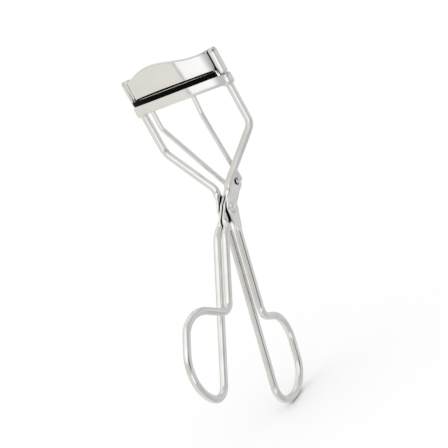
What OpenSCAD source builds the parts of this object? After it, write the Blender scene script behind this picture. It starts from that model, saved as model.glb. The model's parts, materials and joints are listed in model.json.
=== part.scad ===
// Eyelash curler: a bent wire frame with a curved upper plate, a padded lower jaw that
// slides on the frame's posts, and a scissor lever that pushes the jaw up through two rods.
// Millimetres. +Z is up along the posts, +X is to the right and -Y is the front.

/* [Frame wire] */
// Diameter of the frame and lever wire
wire_d = 2.5; // [2.3:0.1:2.6]
// Distance between the two posts, centre to centre
post_span = 35.1; // [34.5:0.1:36]
// Height of a post above its bend
post_h = 27.3; // [27:0.1:27.5]
// Lean of the frame below the posts, from straight down towards the front
frame_lean = 22.7; // [21.5:0.1:24]
// Distance down the leaning part from the post bend to the pivot
pivot_drop = 23.7; // [23:0.1:24.5]
// Distance down the leaning part from the post bend to the neck bend
neck_drop = 16.5; // [16:0.1:17]
// Half the distance between the two wires at the neck
neck_x = 2.4; // [2.3:0.1:2.6]
// Radius of the bend below each post, on the wire's centreline
post_bend_r = 5; // [4:0.5:6]
// Radius of the bend at the neck, on the wire's centreline
neck_bend_r = 3.5; // [3:0.5:4]

/* [Scissor pivot] */
// Thickness of the flattened wire
flat_t = 1.0; // [0.9:0.05:1.1]
// Distance between neighbouring flats, centre to centre
flat_pitch = 1.35; // [1.3:0.05:1.4]
// Radius of the flattened eye round the pivot
eye_r = 2.8; // [2.6:0.1:3]
// Radius of the rivet's shaft
rivet_r = 1.2; // [1:0.1:1.3]
// Radius of the rivet's heads
rivet_head_r = 1.95; // [1.8:0.05:2.1]
// Height of the rivet's domed heads
rivet_head_h = 0.9; // [0.7:0.1:1]
// Length of flat below the pivot, where the wire turns round again
flat_run = 7.2; // [7:0.1:7.6]
// Length over which a flat swells back to round wire
swell_run = 1.5; // [1.3:0.1:1.8]
// Half the width of a flat where it starts to swell
shoulder_half = 1.9; // [1.7:0.1:2]
// Length over which the flats above the pivot swell
neck_swell_run = 2.0; // [1.8:0.1:2.2]
// Running clearance of the lever on the rivet, on the radius
pivot_clearance = 0.05; // [0.03:0.01:0.08]

/* [Lever] */
// Lean of the lever's flats, from straight down towards the front
lever_lean = 66; // [65:0.5:67]
// Lean of the lever's handle, from straight down towards the front
handle_lean = 44.8; // [44:0.1:46]
// How far in front of the pivot the handle's line passes
handle_offset = 4.2; // [4:0.1:4.4]
// Radius of the lever's bend, on the wire's centreline
lever_bend_r = 9; // [7:0.5:10]
// Distance from the pivot to the link holes
link_reach = 11.2; // [11:0.1:11.4]
// Radius of the lever's tips round the link holes
tip_r = 2.9; // [2.7:0.1:3]
// Clearance of the push rods in the link holes, on the radius
link_clearance = 0.5; // [0.48:0.02:0.6]

/* [Handles] */
// Distance between the two strands of a handle, centre to centre
strand_span = 3.3; // [3.1:0.1:3.4]
// Where a finger loop starts, measured down the handle from the pivot
loop_start = 36.2; // [35.5:0.1:37]
// Where the loop's outer side begins
loop_shoulder = 38; // [37.5:0.1:38.5]
// Where the loop ends
loop_end = 64.2; // [63.8:0.1:65]
// Width of the loop, on the wire's centreline
loop_w = 17.6; // [17.6:0.1:18]

/* [Jaw] */
// How far the jaw bulges forward of the posts
jaw_bulge = 8.8; // [8.4:0.1:9.2]
// Slope of the lash edge, higher at the front
lash_slope = 15; // [13:0.5:17]
// Height of the plate's lash edge at the posts
lash_z = 19.9; // [19.8:0.05:20.2]
// Height of the plate's top edge at the posts
plate_top_z = 27.4; // [27:0.1:27.8]
// How much higher the plate's top edge is in the middle
plate_rise = 4; // [3:0.1:4.5]
// Thickness of the plate's sheet
plate_t = 0.5; // [0.4:0.05:0.6]
// Gap between the pad and the plate at rest
lash_gap = 0.15; // [0.15:0.05:0.3]
// Height of the pad above the channel
pad_rise = 1.75; // [1.6:0.05:1.9]
// Width of the pad, front to back
pad_w = 2.4; // [2.2:0.1:2.4]
// Width of the channel, front to back
channel_w = 3.4; // [3.3:0.1:3.5]
// Height of the channel's walls
channel_h = 3.3; // [3.2:0.1:3.4]
// Thickness of the channel's sheet
channel_t = 0.45; // [0.4:0.05:0.45]
// Radius of the guide eyes that run on the posts
guide_r = 2.1; // [2:0.05:2.2]
// Running clearance of the guide eyes on the posts, on the radius
guide_clearance = 0.09; // [0.05:0.01:0.1]
// Wall of the sleeves rolled round the posts
sleeve_wall = 0.5; // [0.4:0.05:0.6]
// Height of the sleeves' top edge above the post bends
sleeve_top = 27.2; // [27:0.1:27.2]
// Length of the sleeves
sleeve_h = 8.5; // [8.2:0.1:8.6]

/* [Push rods] */
// Diameter of the push rods
rod_d = 1.55; // [1.5:0.05:1.6]
// Half the distance between the rods at the jaw
rod_top_x = 8.4; // [8.2:0.1:8.8]
// Half the distance between the rods at their bend
rod_bend_x = 8.2; // [8:0.1:8.8]
// How far in front of the pad's middle the rods pass through the channel
rod_forward = 0.25; // [0:0.05:0.25]
// How much further forward their bend is
rod_bow = 0.5; // [0:0.1:0.6]
// Half the distance between the rods where they hook into the lever
rod_hook_x = 2.9; // [2.8:0.1:3.2]
// Height of the rods' bend above the post bends
rod_bend_z = 10.5; // [10:0.5:11]
// Radius of that bend, on the rod's centreline
rod_bend_r = 5; // [4:0.5:6]
// Radius of the bend into a rod's hook, on its centreline
rod_hook_r = 1.3; // [1.2:0.1:1.4]
// Clearance of the rods in the channel's floor, on the radius
rod_clearance = 0.1; // [0.08:0.02:0.12]

/* [Hidden] */
$fn = 64;

chrome = [0.80, 0.79, 0.77];
pale_chrome = [0.90, 0.90, 0.89];
rubber_black = [0.03, 0.03, 0.03];

wire_r = wire_d / 2;
wire_sides = 24;
bend_step = 9; // Degrees of bend between two stations of a swept wire
skin = 0.02; // How far a swept wire stays inside the exact solid that it runs into
over = 1; // How far cutting shapes run past what they cut
post_x = post_span / 2;
strand_x = strand_span / 2;
shank_half = eye_r - 0.15; // Half the width of a flat next to its eyes
outer_flat_x = 1.5 * flat_pitch;
inner_flat_x = 0.5 * flat_pitch;

// The box's bottom centre, measured from the midpoint of the post bends
bottom_centre = [0, -31.0, -85.4];

// Directions in the side view: down a leaning part, and out to the side that its loop is on
function down(lean) = [0, -sin(lean), -cos(lean)];
function outward(lean, side) = side * [0, cos(lean), -sin(lean)];

pivot = pivot_drop * down(frame_lean);
neck = neck_drop * down(frame_lean);
neck_bend_angle = atan((post_x - neck_x) / neck_drop);
neck_flat_run = pivot_drop - neck_drop - neck_bend_r * tan(neck_bend_angle / 2);
link = pivot - link_reach * down(lever_lean);
handle_line = pivot + handle_offset * outward(handle_lean, -1);
lever_bend_drop = handle_offset / sin(lever_lean - handle_lean);
lever_bend = pivot + lever_bend_drop * down(lever_lean);

// The jaw is an arc through both posts, whose centre is behind them
jaw_r = (post_x * post_x + jaw_bulge * jaw_bulge) / (2 * jaw_bulge);
jaw_centre_y = jaw_r - jaw_bulge;
pad_half = 16; // Half the pad's length, along X
channel_z = lash_z - lash_gap - pad_rise - channel_h;
floor_z = channel_z + channel_t;
guide_drop = 0.2; // How far the guide eyes reach below the channel
guide_rise = 0.1; // And above its walls
guide_z = channel_z - guide_drop;
guide_h = channel_h + guide_drop + guide_rise;
channel_top_z = channel_z + channel_h;
pad_top_z = lash_z - lash_gap;
rod_head_r = 0.95;
rod_head_h = 0.3;
rod_head_gap = 0.15; // Room for a rod's head in the pad, on the radius
jaw_low = 5; // Heights that the jaw's bands are cut from
jaw_high = 40;

function jaw_y(x) = jaw_centre_y - sqrt(jaw_r * jaw_r - x * x);
rod_y = jaw_y(rod_top_x) - rod_forward;
rod_floor_z = floor_z - rod_y * tan(lash_slope);

// Corners and bend radii of a finger loop: [down the handle, outward, sideways]
loop_corners = [
    [loop_start, 0, strand_x],
    [loop_shoulder, loop_w, -strand_x],
    [loop_end, loop_w, -strand_x],
    [loop_end, 0, -strand_x]
];
loop_radii = [3.6, 10, 12, 5.5];

function on_handle(start, lean, side) =
    [for (c = loop_corners) start + c[0] * down(lean) + c[1] * outward(lean, side) + [c[2], 0, 0]];

// Bent round wire, swept along straight runs and round bends

function unit(v) = v / norm(v);
function turn(p, i) = acos(unit(p[i] - p[i - 1]) * unit(p[i + 1] - p[i]));
function inside(p, i) =
    let (way_in = unit(p[i] - p[i - 1]), way_out = unit(p[i + 1] - p[i]))
    unit(way_out - way_in * (way_out * way_in));

// One station of the bend at corner i: [point, direction], a given angle round the bend
function bend_station(p, r, i, angle) =
    let (way_in = unit(p[i] - p[i - 1]),
         across = inside(p, i),
         centre = p[i] - way_in * r[i] * tan(turn(p, i) / 2) + across * r[i])
    [centre + r[i] * (way_in * sin(angle) - across * cos(angle)),
     way_in * cos(angle) + across * sin(angle)];

// Every station of a wire. p are its corners, and r the bend radii, with 0 at both ends
function stations(p, r) = concat(
    [[p[0], unit(p[1] - p[0])]],
    [for (i = [1 : len(p) - 2])
        let (steps = ceil(turn(p, i) / bend_step))
        for (k = [0 : steps])
            bend_station(p, r, i, turn(p, i) * k / steps)],
    [[p[len(p) - 1], unit(p[len(p) - 1] - p[len(p) - 2])]]
);

// A direction square to the wire at every station, carried along it without twisting
function carried(s, i, list) =
    i == len(s) ? list :
    let (before = list[i - 1], along = s[i][1])
    carried(s, i + 1, concat(list, [unit(before - along * (before * along))]));

// p are the wire's corners, and r the bend radius at each corner, with 0 at both ends
module bent_wire(p, r, radius) {
    s = stations(p, r);
    first = abs(s[0][1].x) < 0.9 ? [1, 0, 0] : [0, 1, 0];
    square = carried(s, 1, [unit(first - s[0][1] * (first * s[0][1]))]);
    rings = len(s);
    points = [
        for (i = [0 : rings - 1], k = [0 : wire_sides - 1])
            let (angle = 360 * k / wire_sides)
            s[i][0] + radius * (square[i] * cos(angle) + cross(s[i][1], square[i]) * sin(angle))
    ];
    sides = [
        for (i = [0 : rings - 2], k = [0 : wire_sides - 1])
            let (next = (k + 1) % wire_sides, here = i * wire_sides, above = here + wire_sides)
            [here + k, above + k, above + next, here + next]
    ];
    start_cap = [for (k = [0 : wire_sides - 1]) k];
    end_cap = [for (k = [wire_sides - 1 : -1 : 0]) (rings - 1) * wire_sides + k];
    polyhedron(points, concat([start_cap], sides, [end_cap]));
}

// Shapes that the flats share

// A flat that starts as an eye at the origin and ends as round wire, down its own +Z. Its
// child gives its width
module flattened_wire(flat_x, round_x, run, swell) {
    margin = 0.1;
    intersection() {
        translate([round_x, 0, 0])
            children();
        rotate([90, 0, 0])
            linear_extrude(height = 2 * eye_r + 2 * over, center = true)
                polygon([
                    [flat_x - flat_t / 2, 0],
                    [flat_x + flat_t / 2, 0],
                    [flat_x + flat_t / 2, run - swell],
                    [round_x + wire_r + margin, run],
                    [round_x - wire_r - margin, run],
                    [flat_x - flat_t / 2, run - swell]
                ]);
    }
}

// The width of a flat that has a shoulder before it swells back to round wire
module shouldered_width() {
    rotate_extrude()
        polygon([
            [0, 0],
            [shank_half, 0],
            [shoulder_half, flat_run - swell_run],
            [wire_r, flat_run],
            [0, flat_run]
        ]);
}

module flat_disc(x, r) {
    translate([x - flat_t / 2, 0, 0])
        rotate([0, 90, 0])
            cylinder(h = flat_t, r = r);
}

// A hole along X through everything near the given point
module cross_hole(point, r) {
    translate(point + [-post_x, 0, 0])
        rotate([0, 90, 0])
            cylinder(h = 2 * post_x, r = r);
}

// Frame

module frame_arm() {
    tip_chamfer = 0.4;
    overlap = 0.15;
    post_foot = post_bend_r * tan(neck_bend_angle / 2);
    difference() {
        union() {
            translate([post_x, 0, 0])
                rotate_extrude()
                    polygon([
                        [0, post_foot],
                        [wire_r, post_foot],
                        [wire_r, post_h - tip_chamfer],
                        [wire_r - tip_chamfer, post_h],
                        [0, post_h]
                    ]);
            bent_wire(
                [
                    [post_x, 0, post_foot + over],
                    [post_x, 0, 0],
                    neck + [neck_x, 0, 0],
                    pivot + [neck_x, 0, 0] - (neck_flat_run - overlap) * down(frame_lean)
                ],
                [0, post_bend_r, neck_bend_r, 0],
                wire_r - skin
            );
            translate(pivot)
                rotate([-frame_lean, 0, 0])
                    flattened_wire(outer_flat_x, neck_x, neck_flat_run, neck_swell_run)
                        cylinder(h = neck_flat_run, r1 = eye_r, r2 = wire_r);
            translate(pivot)
                flat_disc(outer_flat_x, eye_r);
            translate(pivot)
                rotate([180 - frame_lean, 0, 0])
                    flattened_wire(outer_flat_x, strand_x, flat_run, swell_run)
                        shouldered_width();
        }
        cross_hole(pivot, rivet_r);
    }
}

module right_arm() {
    color(chrome)
        frame_arm();
}

module left_arm() {
    color(chrome)
        mirror([1, 0, 0])
            frame_arm();
}

module frame_handle() {
    start = pivot + flat_run * down(frame_lean);
    color(chrome)
        bent_wire(
            concat(
                [start + [strand_x, 0, 0]],
                on_handle(pivot, frame_lean, 1),
                [start - [strand_x, 0, 0]]
            ),
            concat([0], loop_radii, [0]),
            wire_r
        );
}

// A band of the jaw's arc, between two radii and up to a distance either side of the middle
module jaw_band(r_in, r_out, half) {
    reach = asin(half / jaw_r);
    translate([0, jaw_centre_y, 0])
        rotate([0, 0, -90 - reach])
            rotate_extrude(angle = 2 * reach)
                translate([r_in, jaw_low])
                    square([r_out - r_in, jaw_high - jaw_low]);
}

// Everything above the sloping surface that passes the given height at the posts
module above_slope(z) {
    slope_block(z, z + jaw_high);
}

// Everything below it, down to the ground
module below_slope(z) {
    slope_block(z, 0);
}

module slope_block(z, far_z) {
    depth = 2 * jaw_r;
    rotate([90, 0, 90])
        linear_extrude(height = 2 * post_span, center = true)
            polygon([
                [depth, z - depth * tan(lash_slope)],
                [-depth, z + depth * tan(lash_slope)],
                [-depth, far_z],
                [depth, far_z]
            ]);
}

// The plate's front view, with a top edge that rises in a hump in the middle
module plate_front() {
    steps = 28;
    rotate([90, 0, 0])
        linear_extrude(height = 2 * jaw_r, center = true)
            polygon(concat(
                [[post_x, 0], [-post_x, 0]],
                [for (i = [0 : steps])
                    let (x = post_x * (2 * i / steps - 1))
                    [x, plate_top_z + plate_rise * (1 + cos(180 * x / post_x)) / 2]]
            ));
}

module upper_plate() {
    color(chrome)
        difference() {
            union() {
                intersection() {
                    jaw_band(jaw_r - plate_t / 2, jaw_r + plate_t / 2, post_x);
                    above_slope(lash_z);
                    plate_front();
                }
                for (side = [-1, 1])
                    translate([side * post_x, 0, sleeve_top - sleeve_h])
                        cylinder(h = sleeve_h, r = wire_r + sleeve_wall);
            }
            for (side = [-1, 1])
                translate([side * post_x, 0, 0])
                    cylinder(h = jaw_high, r = wire_r);
        }
}

module pivot_rivet() {
    stack = outer_flat_x + flat_t / 2;
    dome_r = (rivet_head_r * rivet_head_r + rivet_head_h * rivet_head_h) / (2 * rivet_head_h);
    color(pale_chrome)
        translate(pivot)
            rotate([0, 90, 0]) {
                cylinder(h = 2 * stack, r = rivet_r, center = true);
                for (side = [0, 1])
                    mirror([0, 0, side])
                        translate([0, 0, stack])
                            intersection() {
                                cylinder(h = rivet_head_h, r = rivet_head_r);
                                translate([0, 0, rivet_head_h - dome_r])
                                    sphere(r = dome_r);
                            }
            }
}

// Lever

module lever_flat() {
    rotate([180 - lever_lean, 0, 0]) {
        flattened_wire(inner_flat_x, strand_x, flat_run, swell_run)
            shouldered_width();
        translate([inner_flat_x - flat_t / 2, -shank_half, -link_reach])
            cube([flat_t, 2 * shank_half, link_reach]);
    }
    flat_disc(inner_flat_x, eye_r);
    translate(link - pivot)
        flat_disc(inner_flat_x, tip_r);
}

module lever_flats() {
    color(pale_chrome)
        difference() {
            translate(pivot)
                for (side = [0, 1])
                    mirror([side, 0, 0])
                        lever_flat();
            cross_hole(pivot, rivet_r + pivot_clearance);
            cross_hole(link, rod_d / 2 + link_clearance);
        }
}

module lever_handle() {
    start = pivot + flat_run * down(lever_lean);
    near = [strand_x, 0, 0];
    color(chrome)
        bent_wire(
            concat(
                [start + near, lever_bend + near],
                on_handle(handle_line, handle_lean, -1),
                [lever_bend - near, start - near]
            ),
            concat([0, lever_bend_r], loop_radii, [lever_bend_r, 0]),
            wire_r
        );
}

// Lower jaw

module guide_eyes(r, z, h) {
    for (side = [-1, 1])
        translate([side * post_x, 0, z])
            cylinder(h = h, r = r);
}

module jaw_channel() {
    half_w = channel_w / 2;
    color(chrome)
        difference() {
            union() {
                intersection() {
                    jaw_band(jaw_r - half_w, jaw_r + half_w, post_x);
                    above_slope(channel_z);
                    below_slope(channel_top_z);
                }
                guide_eyes(guide_r, guide_z, guide_h);
            }
            intersection() {
                jaw_band(jaw_r - half_w + channel_t, jaw_r + half_w - channel_t, pad_half + 0.1);
                above_slope(floor_z);
            }
            guide_eyes(wire_r + guide_clearance, guide_z - over, guide_h + 2 * over);
            for (side = [-1, 1])
                translate([side * rod_top_x, rod_y, 0])
                    cylinder(h = jaw_high, r = rod_d / 2 + rod_clearance);
        }
}

module rubber_pad() {
    color(rubber_black)
        difference() {
            intersection() {
                jaw_band(jaw_r - pad_w / 2, jaw_r + pad_w / 2, pad_half);
                above_slope(floor_z);
                below_slope(pad_top_z);
            }
            for (side = [-1, 1])
                translate([side * rod_top_x, rod_y, 0])
                    cylinder(h = rod_floor_z + 4 * rod_head_h, r = rod_head_r + rod_head_gap);
        }
}

// Push rods

module push_rod() {
    head_lift = 0.3;
    shaft_top = rod_floor_z + head_lift + 0.1;
    color(chrome) {
        bent_wire(
            [
                [rod_top_x, rod_y, shaft_top],
                [rod_bend_x, rod_y - rod_bow, rod_bend_z],
                link + [rod_hook_x, 0, 0],
                link + [flat_pitch / 4, 0, 0]
            ],
            [0, rod_bend_r, rod_hook_r, 0],
            rod_d / 2
        );
        translate([rod_top_x, rod_y, rod_floor_z + head_lift])
            cylinder(h = rod_head_h, r = rod_head_r);
    }
}

module push_rod_right() {
    push_rod();
}

module push_rod_left() {
    mirror([1, 0, 0])
        push_rod();
}

// Puts the origin at the box's bottom centre
module placed() {
    translate(-bottom_centre)
        children();
}

placed() right_arm();
placed() left_arm();
placed() frame_handle();
placed() upper_plate();
placed() pivot_rivet();
placed() lever_flats();
placed() lever_handle();
placed() jaw_channel();
placed() rubber_pad();
placed() push_rod_right();
placed() push_rod_left();
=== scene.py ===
"""Looks of the eyelash curler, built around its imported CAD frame. Metres, +Z up, -Y to the front."""
import json
import math

import bmesh
import bpy
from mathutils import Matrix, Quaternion, Vector


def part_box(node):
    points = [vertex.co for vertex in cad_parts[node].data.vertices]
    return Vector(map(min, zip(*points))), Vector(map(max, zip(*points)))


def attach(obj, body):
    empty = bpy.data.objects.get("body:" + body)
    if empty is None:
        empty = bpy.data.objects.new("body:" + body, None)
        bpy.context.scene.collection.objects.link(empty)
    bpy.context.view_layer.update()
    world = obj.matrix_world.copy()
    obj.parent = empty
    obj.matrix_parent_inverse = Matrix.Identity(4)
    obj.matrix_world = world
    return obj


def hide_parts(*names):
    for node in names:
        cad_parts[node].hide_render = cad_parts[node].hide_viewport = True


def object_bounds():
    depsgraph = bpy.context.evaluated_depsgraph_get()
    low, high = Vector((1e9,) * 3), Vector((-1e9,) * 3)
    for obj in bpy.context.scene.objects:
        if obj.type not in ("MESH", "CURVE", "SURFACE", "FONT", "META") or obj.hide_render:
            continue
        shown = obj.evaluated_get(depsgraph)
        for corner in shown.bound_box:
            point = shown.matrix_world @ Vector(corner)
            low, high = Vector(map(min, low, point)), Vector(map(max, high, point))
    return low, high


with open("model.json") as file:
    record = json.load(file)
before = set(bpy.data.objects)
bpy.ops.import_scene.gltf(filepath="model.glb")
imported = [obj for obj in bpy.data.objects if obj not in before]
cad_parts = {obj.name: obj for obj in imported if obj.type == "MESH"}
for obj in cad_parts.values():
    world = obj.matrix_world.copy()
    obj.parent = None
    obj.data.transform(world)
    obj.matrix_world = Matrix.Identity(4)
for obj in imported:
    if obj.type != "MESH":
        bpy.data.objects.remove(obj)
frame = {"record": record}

MM = 0.001
cad_low, cad_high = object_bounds()
joints = {joint["name"]: joint for joint in frame["record"]["behaviour"]["joints"]}

# Driving dimensions, in metres, and leans in degrees from straight down towards the front

# Wires, and the lines that they follow
WIRE_R = 1.25 * MM
FRAME_LEAN = 22.7
LEVER_LEAN = 66.0
HANDLE_LEAN = 44.8
HANDLE_OFFSET = 4.2 * MM  # How far in front of the pivot the lever's handle line runs
PIVOT_DROP = 23.7 * MM
NECK_DROP = 16.5 * MM
NECK_X = 2.4 * MM  # From the middle to each frame wire at the neck
STRAND_X = 1.65 * MM  # And to each strand of a handle
POST_DOME_H = 0.7 * MM
POST_BEND_R = 5.0 * MM
NECK_BEND_R = 3.5 * MM
JOG_R = 3.0 * MM  # The small step in from the neck to the flats
JOG_RUN = 2.0 * MM
SPREAD_R = 8.0 * MM  # Where the wires leave the flats for the strands
SPREAD_RUN = 0.6 * MM
LEVER_SPREAD_R = 5.0 * MM
LEVER_BEND_R = 9.0 * MM

# Flats at the pivot. A squareness of 2 gives a round section, and more gives flatter sides
FLAT_T = 1.0 * MM
OUTER_FLAT_X = 2.025 * MM
INNER_FLAT_X = 0.675 * MM
EYE_R = 2.8 * MM
SHANK_HALF = 2.65 * MM
SHOULDER_HALF = 1.9 * MM
FLAT_RUN = 7.2 * MM  # From the pivot down to round wire, the last stretch of it swelling
SWELL_RUN = 1.5 * MM
NECK_FLAT_RUN = 5.8 * MM  # And from the pivot up
NECK_SWELL_RUN = 2.0 * MM
NECK_SHOULDER_HALF = 1.75 * MM
ROUND = 2.0
SQUARE = 5.0

# Rivet and link holes
RIVET_R = 1.2 * MM
RIVET_GAP = 0.05 * MM
RIVET_HEAD_R = 1.95 * MM
RIVET_HEAD_H = 0.9 * MM
RIVET_RIM = 0.18  # Share of a head's height that its rim has
LINK_REACH = 11.2 * MM
TIP_R = 2.9 * MM
LINK_HOLE_R = 1.275 * MM
DRILL_HALF = 4.0 * MM  # Long enough to go through both flats

# Push rods
ROD_R = 0.775 * MM
ROD_TOP_X = 8.4 * MM
ROD_BEND_X = 8.2 * MM
ROD_BEND_UP = 10.5 * MM
ROD_BEND_R = 5.0 * MM
ROD_FORWARD = 0.25 * MM  # From the jaw's arc forward to a rod's top
ROD_BOW = 0.5 * MM  # And on forward to its bend
ROD_HEAD_RISE = 0.45 * MM
ROD_HOOK_X = 2.9 * MM
ROD_HOOK_R = 1.3 * MM
ROD_END_X = 0.34 * MM
ROD_STEP = 0.6 * MM

# Jaw
JAW_BULGE = 8.8 * MM
LASH_SLOPE = 15.0
LASH_GAP = 0.15 * MM
PLATE_T = 0.5 * MM
CHANNEL_W = 3.4 * MM
CHANNEL_H = 3.3 * MM
CHANNEL_T = 0.45 * MM
CHANNEL_HALF = 16.3 * MM
CHANNEL_FOLD_R = 0.55 * MM
CHANNEL_END_R = 0.5 * MM
SHEET_EDGE_R = 0.15 * MM
PAD_W = 2.4 * MM
PAD_LIP_HALF = 1.62 * MM
PAD_HALF = 16.0 * MM
TROUGH_HALF = 16.1 * MM
PAD_RISE = 1.75 * MM
PAD_LIFT = 0.5 * MM
PAD_LIP_GAP = 0.05 * MM
GUIDE_BORE_R = 1.34 * MM
GUIDE_R = 2.1 * MM
GUIDE_H = 3.6 * MM
GUIDE_EDGE_R = 0.65 * MM
GUIDE_DROP = 0.2 * MM
BORE_LENGTH = 10.0 * MM
TURNED_SIDES = 48
NEARLY_ZERO_R = 0.02 * MM  # Where a turned outline meets its axis


# Directions and places that follow from them

def down(lean):
    """Down a leaning part, towards the front."""
    lean = math.radians(lean)
    return Vector((0, -math.sin(lean), -math.cos(lean)))


def outward(lean, side):
    """Square to a leaning part, to the side that its finger loop is on."""
    lean = math.radians(lean)
    return Vector((0, math.cos(lean), -math.sin(lean))) * side


SIDEWAYS = Vector((1, 0, 0))
BACKWARD = Vector((0, 1, 0))
UPWARD = Vector((0, 0, 1))
PIVOT = Vector(joints["lever_pivot"]["pos_m"])
POST_BEND = PIVOT - down(FRAME_LEAN) * PIVOT_DROP
NECK = POST_BEND + down(FRAME_LEAN) * NECK_DROP
POST_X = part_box("right_arm")[1].x - WIRE_R
POST_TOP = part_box("right_arm")[1].z
LINK = PIVOT - down(LEVER_LEAN) * LINK_REACH
HANDLE_START = PIVOT + outward(HANDLE_LEAN, -1) * HANDLE_OFFSET
LEVER_BEND = PIVOT + down(LEVER_LEAN) * (
    HANDLE_OFFSET / math.sin(math.radians(LEVER_LEAN - HANDLE_LEAN)))
JAW_R = (POST_X ** 2 + JAW_BULGE ** 2) / (2 * JAW_BULGE)
JAW_CENTRE_Y = POST_BEND.y + JAW_R - JAW_BULGE
GUIDE_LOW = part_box("jaw_channel")[0].z
CHANNEL_Z = GUIDE_LOW + GUIDE_DROP
PAD_TOP_Z = CHANNEL_Z + CHANNEL_H + PAD_RISE
LASH_Z = PAD_TOP_Z + LASH_GAP


def jaw_bulge(x):
    """How far in front of the posts the jaw's arc is, at a distance from the middle."""
    return math.sqrt(JAW_R ** 2 - x ** 2) - (JAW_R - JAW_BULGE)


def slope_rise(x):
    """How much higher the lash edge is there than at the posts."""
    return jaw_bulge(x) * math.tan(math.radians(LASH_SLOPE))


# Meshes

def mix(a, b, t):
    """From a to b as t goes from 0 to 1."""
    return a + (b - a) * t


def smooth(t):
    """0 to 1 with an ease at both ends."""
    t = min(max(t, 0.0), 1.0)
    return t * t * (3 - 2 * t)


def new_object(name, points, faces):
    """An object in the scene, from points and faces."""
    mesh = bpy.data.meshes.new(name)
    mesh.from_pydata([tuple(p) for p in points], [], faces)
    mesh.update()
    piece = bpy.data.objects.new(name, mesh)
    bpy.context.scene.collection.objects.link(piece)
    shade(piece)
    return piece


def shade(piece, crease=32):
    """Smooth shading with sharp edges where the surface turns by more than the crease angle."""
    piece.data.polygons.foreach_set("use_smooth", [True] * len(piece.data.polygons))
    piece.data.set_sharp_from_angle(angle=math.radians(crease))


def face_outward(piece):
    """Turns the faces of a closed mesh outward."""
    work = bmesh.new()
    work.from_mesh(piece.data)
    bmesh.ops.recalc_face_normals(work, faces=work.faces)
    work.to_mesh(piece.data)
    work.free()


def lofted(name, rings):
    """A solid through rings of points that all have the same count, with flat ends."""
    count = len(rings[0])
    points = [p for ring in rings for p in ring]
    faces = []
    for i in range(len(rings) - 1):
        here = i * count
        there = (i + 1) * count
        for k in range(count):
            nxt = (k + 1) % count
            faces.append((here + k, here + nxt, there + nxt, there + k))
    faces.append(tuple(reversed(range(count))))
    faces.append(tuple(range((len(rings) - 1) * count, len(rings) * count)))
    piece = new_object(name, points, faces)
    face_outward(piece)
    return piece


def circle(centre, across, up, radius, sides):
    """A ring of points in the plane of two directions."""
    ring = []
    for k in range(sides):
        a = 2 * math.pi * k / sides
        ring.append(centre + (across * math.cos(a) + up * math.sin(a)) * radius)
    return ring


def combine(piece, other, operation):
    """Applies an exact boolean and deletes the other object."""
    modifier = piece.modifiers.new("combine", "BOOLEAN")
    modifier.operation = operation
    modifier.solver = "EXACT"
    modifier.object = other
    graph = bpy.context.evaluated_depsgraph_get()
    result = bpy.data.meshes.new_from_object(piece.evaluated_get(graph))
    piece.modifiers.clear()
    piece.data = result
    bpy.data.objects.remove(other)
    shade(piece)


def bent_path(corners, radii, step=0.5 * MM, bend_step=4.0):
    """(point, direction) stations along straight runs joined by round bends."""
    stations = []
    start = corners[0]
    for i in range(1, len(corners)):
        way_in = (corners[i] - corners[i - 1]).normalized()
        if i < len(corners) - 1:
            way_out = (corners[i + 1] - corners[i]).normalized()
            turn = math.acos(min(1.0, way_in.dot(way_out)))
            setback = radii[i] * math.tan(turn / 2)
        else:
            turn = setback = 0.0
        end = corners[i] - way_in * setback
        runs = max(1, round((end - start).length / step))
        stations += [(start.lerp(end, k / runs), way_in) for k in range(runs)]
        if turn > 1e-6:
            across = (way_out - way_in * way_in.dot(way_out)).normalized()
            centre = end + across * radii[i]
            steps = max(2, math.ceil(math.degrees(turn) / bend_step))
            for k in range(steps):
                a = turn * k / steps
                stations.append((
                    centre + (way_in * math.sin(a) - across * math.cos(a)) * radii[i],
                    way_in * math.cos(a) + across * math.sin(a)))
            start = corners[i] + way_out * setback
        else:
            start = end
    stations.append((corners[-1], way_in))
    return stations


def wire_section(point, along, thick, wide, squareness, sides=32):
    """A ring square to the wire, from its half thickness sideways and its half width across that."""
    n = (SIDEWAYS - along * along.dot(SIDEWAYS)).normalized()
    b = along.cross(n)
    ring = []
    for k in range(sides):
        c = math.cos(2 * math.pi * k / sides)
        s = math.sin(2 * math.pi * k / sides)
        ring.append(
            point
            + n * math.copysign(abs(c) ** (2 / squareness), c) * thick
            + b * math.copysign(abs(s) ** (2 / squareness), s) * wide)
    return ring


def flattening(distance, run, swell, shoulder):
    """(half thickness, half width, squareness) of wire at a distance from the pivot."""
    swollen = smooth((distance - (run - swell)) / swell)
    narrowed = min(distance / (run - swell), 1.0)
    eye = math.sqrt(max(0.0, EYE_R ** 2 - distance ** 2))
    wide = mix(max(eye, mix(SHANK_HALF, shoulder, narrowed)), WIRE_R, swollen)
    return mix(FLAT_T / 2, WIRE_R, swollen), wide, mix(SQUARE, ROUND, swollen)


# A finger loop's corners, as distances down the handle, outward and sideways, and bend radii
LOOP_CORNERS = (
    (36.2 * MM, 0.0, STRAND_X),
    (38.0 * MM, 17.6 * MM, -STRAND_X),
    (64.2 * MM, 17.6 * MM, -STRAND_X),
    (64.2 * MM, 0.0, -STRAND_X),
)
LOOP_RADII = (3.6 * MM, 10.0 * MM, 12.0 * MM, 5.5 * MM)


def loop_on(start, lean, side):
    """The corners of the finger loop on a handle."""
    return [
        start + down(lean) * along + outward(lean, side) * out + SIDEWAYS * across
        for along, out, across in LOOP_CORNERS
    ]


def mirrored(corners):
    """The same corners on the left, in reverse order."""
    return [Vector((-p.x, p.y, p.z)) for p in reversed(corners)]


# Frame

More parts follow.
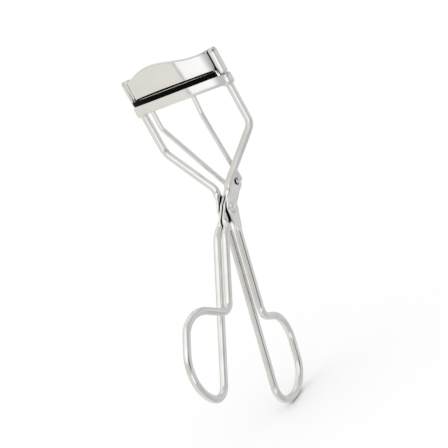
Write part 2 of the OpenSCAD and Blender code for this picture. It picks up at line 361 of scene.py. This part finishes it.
def frame_wire():
    """The frame: one bent wire from the right post round the finger loop to the left post."""
    lean = down(FRAME_LEAN)
    half = [
        Vector((POST_X, POST_BEND.y, POST_TOP)),
        POST_BEND + SIDEWAYS * POST_X,
        NECK + SIDEWAYS * NECK_X,
        PIVOT - lean * NECK_FLAT_RUN + SIDEWAYS * NECK_X,
        PIVOT - lean * (NECK_FLAT_RUN - JOG_RUN) + SIDEWAYS * OUTER_FLAT_X,
        PIVOT + lean * (FLAT_RUN - SWELL_RUN) + SIDEWAYS * OUTER_FLAT_X,
        PIVOT + lean * (FLAT_RUN + SPREAD_RUN) + SIDEWAYS * STRAND_X,
    ]
    half_radii = [0, POST_BEND_R, NECK_BEND_R, JOG_R, JOG_R, SPREAD_R, SPREAD_R]
    corners = half + loop_on(PIVOT, FRAME_LEAN, 1) + mirrored(half)
    radii = half_radii + list(LOOP_RADII) + half_radii[::-1]
    rings = []
    for point, along in bent_path(corners, radii):
        from_pivot = (point - PIVOT).dot(lean)
        if -NECK_FLAT_RUN < from_pivot < FLAT_RUN and abs(point.x) < 2 * NECK_X:
            if from_pivot > 0:
                section = flattening(from_pivot, FLAT_RUN, SWELL_RUN, SHOULDER_HALF)
            else:
                section = flattening(-from_pivot, NECK_FLAT_RUN, NECK_SWELL_RUN, NECK_SHOULDER_HALF)
        else:
            section = (WIRE_R, WIRE_R, ROUND)
        rings.append(wire_section(point, along, *section))
    under_dome = 3  # How many of the wire's rings each dome takes the place of
    shaft = rings[under_dome:-under_dome]
    piece = lofted("frame_wire", post_dome(corners[0], -1) + shaft + post_dome(corners[-1], 1)[::-1])
    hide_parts("right_arm", "left_arm", "frame_handle")
    return piece


def post_dome(tip, up_sign):
    """Rings that round off a post's tip, from its top down."""
    steps = 8
    rings = []
    for k in range(1, steps + 1):
        a = math.radians(90 * k / steps)
        point = tip - UPWARD * POST_DOME_H * (1 - math.cos(a))
        r = WIRE_R * math.sin(a)
        rings.append(wire_section(point, UPWARD * up_sign, r, r, ROUND))
    return rings


def rivet():
    """The pivot rivet: a shaft with a domed head at each end."""
    stack = OUTER_FLAT_X + FLAT_T / 2
    steps = 8
    profile = [(NEARLY_ZERO_R, stack + RIVET_HEAD_H)]
    for k in range(1, steps + 1):
        a = math.radians(90 * k / steps)
        height = RIVET_HEAD_H * mix(RIVET_RIM, 1.0, math.cos(a))
        profile.append((RIVET_HEAD_R * math.sin(a), stack + height))
    profile.append((RIVET_HEAD_R, stack))
    profile.append((RIVET_R, stack))
    profile += [(r, -x) for r, x in reversed(profile)]
    rings = [circle(PIVOT + SIDEWAYS * x, BACKWARD, UPWARD, r, 40) for r, x in profile]
    piece = lofted("rivet", rings)
    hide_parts("pivot_rivet")
    return piece


# Lever

def lever_wire():
    """The lever: one bent wire with a flat at each end, joined round the finger loop."""
    lean = down(LEVER_LEAN)
    half = [
        LINK - lean * TIP_R + SIDEWAYS * INNER_FLAT_X,
        PIVOT + lean * (FLAT_RUN - SWELL_RUN) + SIDEWAYS * INNER_FLAT_X,
        PIVOT + lean * (FLAT_RUN + SPREAD_RUN) + SIDEWAYS * STRAND_X,
        LEVER_BEND + SIDEWAYS * STRAND_X,
    ]
    half_radii = [0, LEVER_SPREAD_R, LEVER_SPREAD_R, LEVER_BEND_R]
    corners = half + loop_on(HANDLE_START, HANDLE_LEAN, -1) + mirrored(half)
    radii = half_radii + list(LOOP_RADII) + half_radii[::-1]
    rings = []
    for point, along in bent_path(corners, radii):
        from_pivot = (point - PIVOT).dot(lean)
        to_link = from_pivot + LINK_REACH
        if from_pivot > FLAT_RUN:
            section = (WIRE_R, WIRE_R, ROUND)
        elif from_pivot > 0:
            section = flattening(from_pivot, FLAT_RUN, SWELL_RUN, SHOULDER_HALF)
        elif to_link > 0:
            bulge = math.sqrt(max(0.0, EYE_R ** 2 - from_pivot ** 2))
            tip = math.sqrt(max(0.0, TIP_R ** 2 - to_link ** 2))
            section = (FLAT_T / 2, max(SHANK_HALF, bulge, tip), SQUARE)
        else:
            continue  # Past the link hole, where the tip's own rings take over
        rings.append(wire_section(point, along, *section))
    piece = lofted("lever_wire", lever_tip(1)[::-1] + rings + lever_tip(-1))
    drilled(piece, LINK, LINK_HOLE_R)
    drilled(piece, PIVOT, RIVET_R + RIVET_GAP)
    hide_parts("lever_flats", "lever_handle")
    return piece


def lever_tip(side):
    """Rings that round off the end of a flat past its link hole, from the hole out."""
    lean = down(LEVER_LEAN)
    steps = 12
    last_angle = 89
    rings = []
    for k in range(1, steps + 1):
        a = math.radians(last_angle * k / steps)
        point = LINK - lean * TIP_R * math.sin(a) + SIDEWAYS * INNER_FLAT_X * side
        rings.append(wire_section(point, lean * side, FLAT_T / 2, TIP_R * math.cos(a), SQUARE))
    return rings


def drilled(piece, point, radius):
    """Cuts a hole along X through both flats."""
    ends = [point - SIDEWAYS * DRILL_HALF, point + SIDEWAYS * DRILL_HALF]
    drill = lofted("drill", [circle(end, BACKWARD, UPWARD, radius, 48) for end in ends])
    combine(piece, drill, "DIFFERENCE")


# Upper plate

PLATE_TOP_Z = POST_BEND.z + 27.4 * MM  # At the posts, from where the top edge rises to a hump
PLATE_RISE = 4.0 * MM
SLEEVE_TOP = POST_BEND.z + 27.2 * MM
SLEEVE_LOW = POST_BEND.z + 18.7 * MM
SLEEVE_R = WIRE_R + PLATE_T / 2
CURL_START = 205.0  # Degrees round the post from +X where the curl starts, and how far it turns
CURL_TURN = 296.0
CURL_LEAD = 0.25 * MM  # How far before the curl the arc ends
TUCK = 0.3 * MM  # How far the curl draws in at its top edge, and over what height
TUCK_RUN = 0.8 * MM
TUCK_AT_TIP = 0.7
DISH = 0.12 * MM
EDGE_H = 0.12 * MM
EDGE_SHARE = 0.62  # How much of the thickness is left at the rounded edge


def plate_plan():
    """The sheet's line in plan, as (point, share of the way into a curl) from the left post's curl
    along the arc and round the right post."""
    leave_x = POST_X - SLEEVE_R * math.cos(math.radians(CURL_START - 180)) - CURL_LEAD
    reach = math.asin(leave_x / JAW_R)
    half_steps = 60
    arc = []
    for k in range(-half_steps, half_steps + 1):
        a = reach * k / half_steps
        arc.append((Vector((JAW_R * math.sin(a), JAW_CENTRE_Y - JAW_R * math.cos(a), 0)), 0.0))
    curl = []
    post = Vector((POST_X, POST_BEND.y, 0))
    steps = 56
    for k in range(steps + 1):
        a = math.radians(CURL_START - CURL_TURN * k / steps)
        way_out = Vector((math.cos(a), math.sin(a), 0))
        curl.append((post + way_out * SLEEVE_R, smooth(0.2 + k / 5)))
    left = [(Vector((-p.x, p.y, 0)), t) for p, t in reversed(curl)]
    return left + arc + curl


def plate_edges(x, curled):
    """(low, high) heights of the sheet at a distance from the middle."""
    high = PLATE_TOP_Z + PLATE_RISE * (1 + math.cos(math.pi * min(abs(x) / POST_X, 1.0))) / 2
    low = LASH_Z + slope_rise(min(abs(x), POST_X))
    return mix(low, SLEEVE_LOW, curled), mix(high, SLEEVE_TOP, curled)


def sleeve_tuck(z, high, curled):
    """How far the outer side of the curl draws in near its top edge."""
    return curled * TUCK * smooth((z - (high - TUCK_RUN)) / TUCK_RUN) ** 2


def plate_ring(point, front, curled):
    """The sheet's section at one place in plan: up its front and down its back."""
    levels = 14
    low, high = plate_edges(point.x, curled)
    ring = []
    for side in (1, -1):
        for k in range(levels + 1):
            t = k / levels if side == 1 else 1 - k / levels
            z = mix(low + EDGE_H, high - EDGE_H, t)
            bow = DISH * (1 - (2 * t - 1) ** 2) * (1 - curled)
            tuck = sleeve_tuck(z, high, curled) if side == -1 else 0.0
            ring.append(point + front * (side * PLATE_T / 2 + bow + tuck) + UPWARD * z)
        tip_z = high if side == 1 else low
        for share in (EDGE_SHARE, -EDGE_SHARE):
            tuck = curled * TUCK_AT_TIP * TUCK if side == 1 and share < 0 else 0.0
            ring.append(point + front * (side * share * PLATE_T / 2 + tuck) + UPWARD * tip_z)
    return ring


def upper_plate():
    """A thin dished sheet with rounded edges, whose ends are rolled round the posts."""
    plan = plate_plan()
    rings = []
    for i, (point, curled) in enumerate(plan):
        before = plan[max(i - 1, 0)][0]
        after = plan[min(i + 1, len(plan) - 1)][0]
        along = (after - before).normalized()
        rings.append(plate_ring(point, Vector((along.y, -along.x, 0)), curled))
    piece = lofted("upper_plate_sheet", rings)
    shade(piece, 40)
    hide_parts("upper_plate")
    return piece


# Lower jaw

def jaw_ring(outline, angle):
    """A (forward, up) outline set square across the jaw's arc at an angle from the middle."""
    front = Vector((math.sin(angle), -math.cos(angle), 0))
    rise = slope_rise(JAW_R * math.sin(angle))
    ring = []
    for forward, up in outline:
        point = Vector((0, JAW_CENTRE_Y, 0)) + front * (JAW_R + forward)
        tilt = forward * math.tan(math.radians(LASH_SLOPE))
        ring.append(point + UPWARD * (up + rise + tilt))
    return ring


def jaw_sweep(name, outline, start_x, end_x, steps):
    """Sweeps an outline along the jaw's arc between two distances from the middle."""
    start = math.asin(start_x / JAW_R)
    end = math.asin(end_x / JAW_R)
    return lofted(name, [jaw_ring(outline, mix(start, end, k / steps)) for k in range(steps + 1)])


def rounded(corners, radii, steps=4):
    """An outline with every corner rounded, by no more than nearly half of a side."""
    most = 0.45
    outline = []
    for i, corner in enumerate(corners):
        here = Vector(corner)
        to_last = Vector(corners[i - 1]) - here
        to_next = Vector(corners[(i + 1) % len(corners)]) - here
        r = min(radii[i], to_last.length * most, to_next.length * most)
        for k in range(steps + 1):
            t = k / steps
            a = here + to_last.normalized() * r
            b = here + to_next.normalized() * r
            outline.append(tuple(a.lerp(here, t).lerp(here.lerp(b, t), t)))
    return outline


def jaw_channel():
    """The channel that holds the pad: a folded sheet trough with a guide eye at each end."""
    half = CHANNEL_W / 2
    inner = half - CHANNEL_T
    low = CHANNEL_Z
    floor = low + CHANNEL_T
    top = low + CHANNEL_H
    outline = rounded(
        [
            (-half, low), (half, low), (half, top), (inner, top),
            (inner, floor), (-inner, floor), (-inner, top), (-half, top),
        ],
        [CHANNEL_FOLD_R] * 2 + [SHEET_EDGE_R] * 6)
    end_outline = rounded(
        [(-half, low), (half, low), (half, top), (-half, top)],
        [CHANNEL_END_R] * 2 + [SHEET_EDGE_R] * 2)
    piece = jaw_sweep("jaw_channel_sheet", outline, -CHANNEL_HALF, CHANNEL_HALF, 64)
    for side in (1, -1):
        end_block = jaw_sweep("end_block", end_outline, side * TROUGH_HALF, side * POST_X, 6)
        combine(end_block, guide_boss(side * POST_X), "UNION")
        combine(end_block, guide_bore(side * POST_X), "DIFFERENCE")
        combine(piece, end_block, "UNION")
    shade(piece, 30)
    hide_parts("jaw_channel")
    return piece


def guide_boss(x):
    """A guide eye before its bore is cut: a short round boss with soft edges."""
    low = GUIDE_LOW
    high = low + GUIDE_H
    soft = GUIDE_EDGE_R
    inner = GUIDE_R - soft
    profile = [(NEARLY_ZERO_R, low), (inner, low)]
    for degrees in (30, 60, 90):
        a = math.radians(degrees)
        profile.append((inner + soft * math.sin(a), low + soft * (1 - math.cos(a))))
    for degrees in (0, 30, 60, 90):
        a = math.radians(degrees)
        profile.append((inner + soft * math.cos(a), high - soft * (1 - math.sin(a))))
    profile.append((NEARLY_ZERO_R, high))
    return turned("guide_boss", x, profile, TURNED_SIDES)


def guide_bore(x):
    """The round bar that cuts the bore a post runs in. Its sides don't line up with the boss's, because
    the exact boolean leaves slivers where they do."""
    low = CHANNEL_Z - BORE_LENGTH / 2
    profile = [(GUIDE_BORE_R, low), (GUIDE_BORE_R, CHANNEL_Z + BORE_LENGTH)]
    return turned("guide_bore", x, profile, TURNED_SIDES + 1)


def turned(name, x, profile, sides):
    """A turned shape on a post's line, from (radius, height) pairs."""
    axis = Vector((x, POST_BEND.y, 0))
    return lofted(name, [circle(axis + UPWARD * z, SIDEWAYS, BACKWARD, r, sides) for r, z in profile])


def rubber_pad():
    """The pad: a strip of black rubber that stands proud of the channel."""
    half = PAD_W / 2
    lip = PAD_LIP_HALF
    low = CHANNEL_Z + CHANNEL_T + PAD_LIFT
    mid = CHANNEL_Z + CHANNEL_H + PAD_LIP_GAP
    soft = 0.1 * MM
    inside = 0.03 * MM
    crown = 0.35 * MM
    outline = rounded(
        [
            (-half, low), (half, low), (half, mid), (lip, mid),
            (lip, PAD_TOP_Z), (-lip, PAD_TOP_Z), (-lip, mid), (-half, mid),
        ],
        [soft, soft, inside, soft, crown, crown, soft, inside])
    piece = jaw_sweep("pad_strip", outline, -PAD_HALF, PAD_HALF, 64)
    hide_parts("rubber_pad")
    return piece


# Push rods

def push_rod(side, name, node):
    """A thin wire from the jaw's floor to the lever's link hole, with a hook at the bottom."""
    rod_y = POST_BEND.y - jaw_bulge(ROD_TOP_X) - ROD_FORWARD
    floor = CHANNEL_Z + CHANNEL_T + slope_rise(ROD_TOP_X)
    corners = [
        Vector((side * ROD_TOP_X, rod_y, floor + ROD_HEAD_RISE)),
        Vector((side * ROD_BEND_X, rod_y - ROD_BOW, POST_BEND.z + ROD_BEND_UP)),
        LINK + SIDEWAYS * side * ROD_HOOK_X,
        LINK + SIDEWAYS * side * ROD_END_X,
    ]
    across = SIDEWAYS
    rings = []
    for point, along in bent_path(corners, [0, ROD_BEND_R, ROD_HOOK_R, 0], step=ROD_STEP, bend_step=6.0):
        across = (across - along * along.dot(across)).normalized()
        rings.append(circle(point, across, along.cross(across), ROD_R, 20))
    piece = lofted(name, rings)
    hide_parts(node)
    return piece


# Materials

# Painted shade: the metal's base colour goes towards this near black where parts lie within this reach
# of each other
CREVICE_REACH = 1.1 * MM
PAINTED_SHADE_DARK = (0.03, 0.03, 0.03, 1)
METAL_RELIEF = 0.004 * MM
RUBBER_RELIEF = 0.02 * MM


def shader(name):
    """A new material, with its nodes, its links and its main shader."""
    material = bpy.data.materials.new(name)
    material.use_nodes = True
    nodes = material.node_tree.nodes
    return material, nodes, material.node_tree.links, nodes["Principled BSDF"]


def noise(nodes, links, scale, detail):
    """Noise in the object's own space, in cycles per metre."""
    place = nodes.new("ShaderNodeTexCoord")
    texture = nodes.new("ShaderNodeTexNoise")
    texture.inputs["Scale"].default_value = scale
    texture.inputs["Detail"].default_value = detail
    links.new(place.outputs["Object"], texture.inputs["Vector"])
    return texture.outputs["Fac"]


def ranged(nodes, links, value, low, high):
    """Noise spread over a range of values."""
    remap = nodes.new("ShaderNodeMapRange")
    remap.inputs["From Min"].default_value = 0.3
    remap.inputs["From Max"].default_value = 0.7
    remap.inputs["To Min"].default_value = low
    remap.inputs["To Max"].default_value = high
    links.new(value, remap.inputs["Value"])
    return remap.outputs["Result"]


def tinted(nodes, links, value, low, high):
    """Noise spread between two colours."""
    ramp = nodes.new("ShaderNodeValToRGB")
    ramp.color_ramp.elements[0].position = 0.35
    ramp.color_ramp.elements[0].color = (*low, 1)
    ramp.color_ramp.elements[1].position = 0.65
    ramp.color_ramp.elements[1].color = (*high, 1)
    links.new(value, ramp.inputs["Fac"])
    return ramp.outputs["Color"]


def bumped(nodes, links, bsdf, height, distance):
    """Fine relief on the main shader."""
    bump = nodes.new("ShaderNodeBump")
    bump.inputs["Strength"].default_value = 0.5
    bump.inputs["Distance"].default_value = distance
    links.new(height, bump.inputs["Height"])
    links.new(bump.outputs["Normal"], bsdf.inputs["Normal"])


def painted_shade_in_crevices(nodes, links, clean):
    """The clean colour with painted shade: darkened towards near black where wires and flats lie close
    together.
    """
    crevice = nodes.new("ShaderNodeAmbientOcclusion")
    crevice.samples = 8
    crevice.inputs["Distance"].default_value = CREVICE_REACH
    depth = nodes.new("ShaderNodeMapRange")
    depth.interpolation_type = "SMOOTHSTEP"
    depth.inputs["From Min"].default_value = 0.15
    depth.inputs["From Max"].default_value = 0.75
    links.new(crevice.outputs["AO"], depth.inputs["Value"])
    # Painted shade: mixes the clean colour towards near black where the ambient occlusion is low
    blend = nodes.new("ShaderNodeMix")
    blend.data_type = "RGBA"
    blend.inputs["A"].default_value = PAINTED_SHADE_DARK
    links.new(depth.outputs["Result"], blend.inputs["Factor"])
    links.new(clean, blend.inputs["B"])
    return blend.outputs["Result"]


def plated_steel(name, low, high, rough_low, rough_high):
    """Bright nickel plate: cloudy polish in the roughness, faint tint, drawing marks and painted shade
    where parts lie close together.
    """
    material, nodes, links, bsdf = shader(name)
    bsdf.inputs["Metallic"].default_value = 1.0
    clean = tinted(nodes, links, noise(nodes, links, 160, 3), low, high)
    links.new(painted_shade_in_crevices(nodes, links, clean), bsdf.inputs["Base Color"])
    polish = noise(nodes, links, 420, 6)
    links.new(ranged(nodes, links, polish, rough_low, rough_high), bsdf.inputs["Roughness"])
    bumped(nodes, links, bsdf, noise(nodes, links, 900, 4), METAL_RELIEF)
    return material


def black_rubber(name):
    """Moulded black rubber: matt, with a fine grain."""
    material, nodes, links, bsdf = shader(name)
    grain = noise(nodes, links, 2600, 5)
    colour = tinted(nodes, links, grain, (0.001, 0.001, 0.001), (0.003, 0.003, 0.0035))
    links.new(colour, bsdf.inputs["Base Color"])
    links.new(ranged(nodes, links, grain, 0.6, 0.8), bsdf.inputs["Roughness"])
    bsdf.inputs["Specular IOR Level"].default_value = 0.05
    bumped(nodes, links, bsdf, grain, RUBBER_RELIEF)
    return material


def pale_floor(name):
    """A matt, nearly white floor with a faint cloud in it."""
    material, nodes, links, bsdf = shader(name)
    cloud = noise(nodes, links, 3, 2)
    colour = tinted(nodes, links, cloud, (0.93, 0.93, 0.93), (0.95, 0.95, 0.95))
    links.new(colour, bsdf.inputs["Base Color"])
    bsdf.inputs["Roughness"].default_value = 0.9
    bsdf.inputs["Specular IOR Level"].default_value = 0.0
    return material


def finish_with(piece, material, body):
    """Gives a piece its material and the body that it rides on."""
    piece.data.materials.clear()
    piece.data.materials.append(material)
    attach(piece, body)


# Studio

CAMERA_AZIMUTH = 36.2
CAMERA_ELEVATION = 16.4
CAMERA_ROLL = -29.2
CAMERA_DISTANCE = 568.5 * MM
CAMERA_LENS = 138.2
CAMERA_TARGET = POST_BEND + Vector((-10.85, 0, -29.68)) * MM
FLOOR_HALF = 6.0
EVEN_LIGHT = 1.08


def photo_camera():
    """A long lens from the front right and above, rolled as the object leans in the view."""
    a = math.radians(CAMERA_AZIMUTH)
    e = math.radians(CAMERA_ELEVATION)
    back = Vector((math.sin(a) * math.cos(e), -math.cos(a) * math.cos(e), math.sin(e)))
    data = bpy.data.cameras.new("camera")
    data.lens = CAMERA_LENS
    data.sensor_width = 36
    data.clip_start = 0.01
    data.clip_end = 20
    camera = bpy.data.objects.new("camera", data)
    bpy.context.scene.collection.objects.link(camera)
    camera.rotation_mode = "QUATERNION"
    camera.location = CAMERA_TARGET + back * CAMERA_DISTANCE
    level = (-back).to_track_quat("-Z", "Y")
    camera.rotation_quaternion = level @ Quaternion((0, 0, 1), math.radians(CAMERA_ROLL))
    bpy.context.scene.camera = camera


def floor():
    """The floor that the object stands on, which the metal doesn't reflect."""
    corners = [(-1, -1), (1, -1), (1, 1), (-1, 1)]
    points = [(x * FLOOR_HALF, y * FLOOR_HALF, cad_low.z) for x, y in corners]
    ground = new_object("floor", points, [(0, 1, 2, 3)])
    ground.data.materials.append(pale_floor("floor_card"))
    ground.visible_glossy = False


# What the polished metal reflects: rows of cards from the ground up. Each row gives the height where it
# takes over from the row below, as the sine of the elevation, and then (compass degrees, colour) from
# the front towards +X
WARM = (0.80, 0.78, 0.745)
WARM_EDGE = (0.74, 0.715, 0.68)
BRIGHT = (1.06, 1.06, 1.06)
DARK = (0.03, 0.03, 0.03)
CARDS = (
    (-1.0, -1.0, (
        (-180, (0.62, 0.62, 0.63)), (-144, WARM_EDGE), (-60, WARM), (8, (0.82, 0.80, 0.77)),
        (12, (0.60, 0.60, 0.61)), (50, (0.58, 0.58, 0.59)), (90, (0.50, 0.50, 0.51)),
        (140, (0.62, 0.62, 0.63)), (180, (0.62, 0.62, 0.63)),
    )),
    (-0.345, -0.30, (
        (-180, (0.66, 0.66, 0.67)), (-144, WARM_EDGE), (-60, WARM), (5, WARM), (8, (0.48, 0.47, 0.46)),
        (12, BRIGHT), (48, BRIGHT), (58, (0.58, 0.58, 0.59)), (85, (0.56, 0.56, 0.57)),
        (100, (0.70, 0.70, 0.71)), (150, (0.66, 0.66, 0.67)), (180, (0.66, 0.66, 0.67)),
    )),
    (0.0, 0.10, (
        (-180, (0.55, 0.55, 0.56)), (-144, (0.68, 0.65, 0.61)), (-60, (0.72, 0.69, 0.65)),
        (0, (0.72, 0.70, 0.67)), (30, (0.62, 0.62, 0.62)), (60, (0.58, 0.58, 0.58)), (63, DARK),
        (78, DARK), (81, (0.42, 0.42, 0.43)), (110, (0.52, 0.52, 0.53)),
        (150, (0.58, 0.58, 0.59)), (180, (0.55, 0.55, 0.56)),
    )),
    (0.48, 0.60, (
        (-180, (0.85, 0.85, 0.85)), (-144, (0.84, 0.82, 0.79)), (-60, (0.92, 0.91, 0.89)), (0, BRIGHT),
        (60, BRIGHT), (75, (0.62, 0.62, 0.62)), (110, (0.56, 0.56, 0.57)), (150, (0.75, 0.75, 0.75)),
        (180, (0.85, 0.85, 0.85)),
    )),
)


def card_row(nodes, links, compass, colours):
    """One row of cards, as a colour ramp round the compass."""
    ramp = nodes.new("ShaderNodeValToRGB")
    cards = ramp.color_ramp.elements
    for i, (degrees, colour) in enumerate(colours):
        where = (degrees + 180) / 360
        card = cards[i] if i < 2 else cards.new(where)
        card.position = where
        card.color = (*colour, 1)
    links.new(compass, ramp.inputs["Fac"])
    return ramp.outputs["Color"]


def compass_of(nodes, links, split):
    """The compass direction of a reflected ray, 0 to 1 with the front at a half."""
    front = nodes.new("ShaderNodeMath")
    front.operation = "MULTIPLY"
    front.inputs[1].default_value = -1.0
    links.new(split.outputs["Y"], front.inputs[0])
    angle = nodes.new("ShaderNodeMath")
    angle.operation = "ARCTAN2"
    links.new(split.outputs["X"], angle.inputs[0])
    links.new(front.outputs[0], angle.inputs[1])
    compass = nodes.new("ShaderNodeMapRange")
    compass.inputs["From Min"].default_value = -math.pi
    compass.inputs["From Max"].default_value = math.pi
    links.new(angle.outputs[0], compass.inputs["Value"])
    return compass.outputs["Result"]


def card_wall(nodes, links):
    """The rows of cards, each laid over the one below it."""
    place = nodes.new("ShaderNodeTexCoord")
    split = nodes.new("ShaderNodeSeparateXYZ")
    links.new(place.outputs["Generated"], split.inputs[0])
    compass = compass_of(nodes, links, split)
    wall = card_row(nodes, links, compass, CARDS[0][2])
    for low, high, colours in CARDS[1:]:
        height = nodes.new("ShaderNodeMapRange")
        height.interpolation_type = "SMOOTHSTEP"
        height.inputs["From Min"].default_value = low
        height.inputs["From Max"].default_value = high
        links.new(split.outputs["Z"], height.inputs["Value"])
        stack = nodes.new("ShaderNodeMix")
        stack.data_type = "RGBA"
        links.new(height.outputs["Result"], stack.inputs["Factor"])
        links.new(wall, stack.inputs["A"])
        links.new(card_row(nodes, links, compass, colours), stack.inputs["B"])
        wall = stack.outputs["Result"]
    return wall


def studio_light():
    """Even white light, with cards that the metal alone reflects."""
    world = bpy.data.worlds.new("studio")
    bpy.context.scene.world = world
    world.use_nodes = True
    nodes = world.node_tree.nodes
    links = world.node_tree.links
    nodes.clear()
    out = nodes.new("ShaderNodeOutputWorld")
    cards_light = nodes.new("ShaderNodeBackground")
    links.new(card_wall(nodes, links), cards_light.inputs["Color"])
    even = nodes.new("ShaderNodeBackground")
    even.inputs["Color"].default_value = (1, 1, 1, 1)
    even.inputs["Strength"].default_value = EVEN_LIGHT
    kind = nodes.new("ShaderNodeLightPath")
    choose = nodes.new("ShaderNodeMixShader")
    links.new(kind.outputs["Is Glossy Ray"], choose.inputs["Fac"])
    links.new(even.outputs[0], choose.inputs[1])
    links.new(cards_light.outputs[0], choose.inputs[2])
    links.new(choose.outputs[0], out.inputs["Surface"])
    bpy.context.scene.view_settings.view_transform = "Standard"


photo_camera()
studio_light()
floor()

wire_steel = plated_steel("wire_plate", (0.86, 0.855, 0.84), (0.93, 0.925, 0.91), 0.07, 0.14)
sheet_steel = plated_steel("sheet_plate", (0.87, 0.865, 0.85), (0.92, 0.915, 0.90), 0.08, 0.13)
rivet_steel = plated_steel("rivet_plate", (0.88, 0.88, 0.87), (0.95, 0.95, 0.94), 0.05, 0.10)
rubber = black_rubber("pad_rubber")

finish_with(frame_wire(), wire_steel, "frame")
finish_with(rivet(), rivet_steel, "frame")
finish_with(upper_plate(), sheet_steel, "frame")
finish_with(lever_wire(), wire_steel, "lever")
finish_with(jaw_channel(), sheet_steel, "lower_jaw")
finish_with(rubber_pad(), rubber, "lower_jaw")
finish_with(push_rod(1, "right_push_rod", "push_rod_right"), wire_steel, "push_rods")
finish_with(push_rod(-1, "left_push_rod", "push_rod_left"), wire_steel, "push_rods")
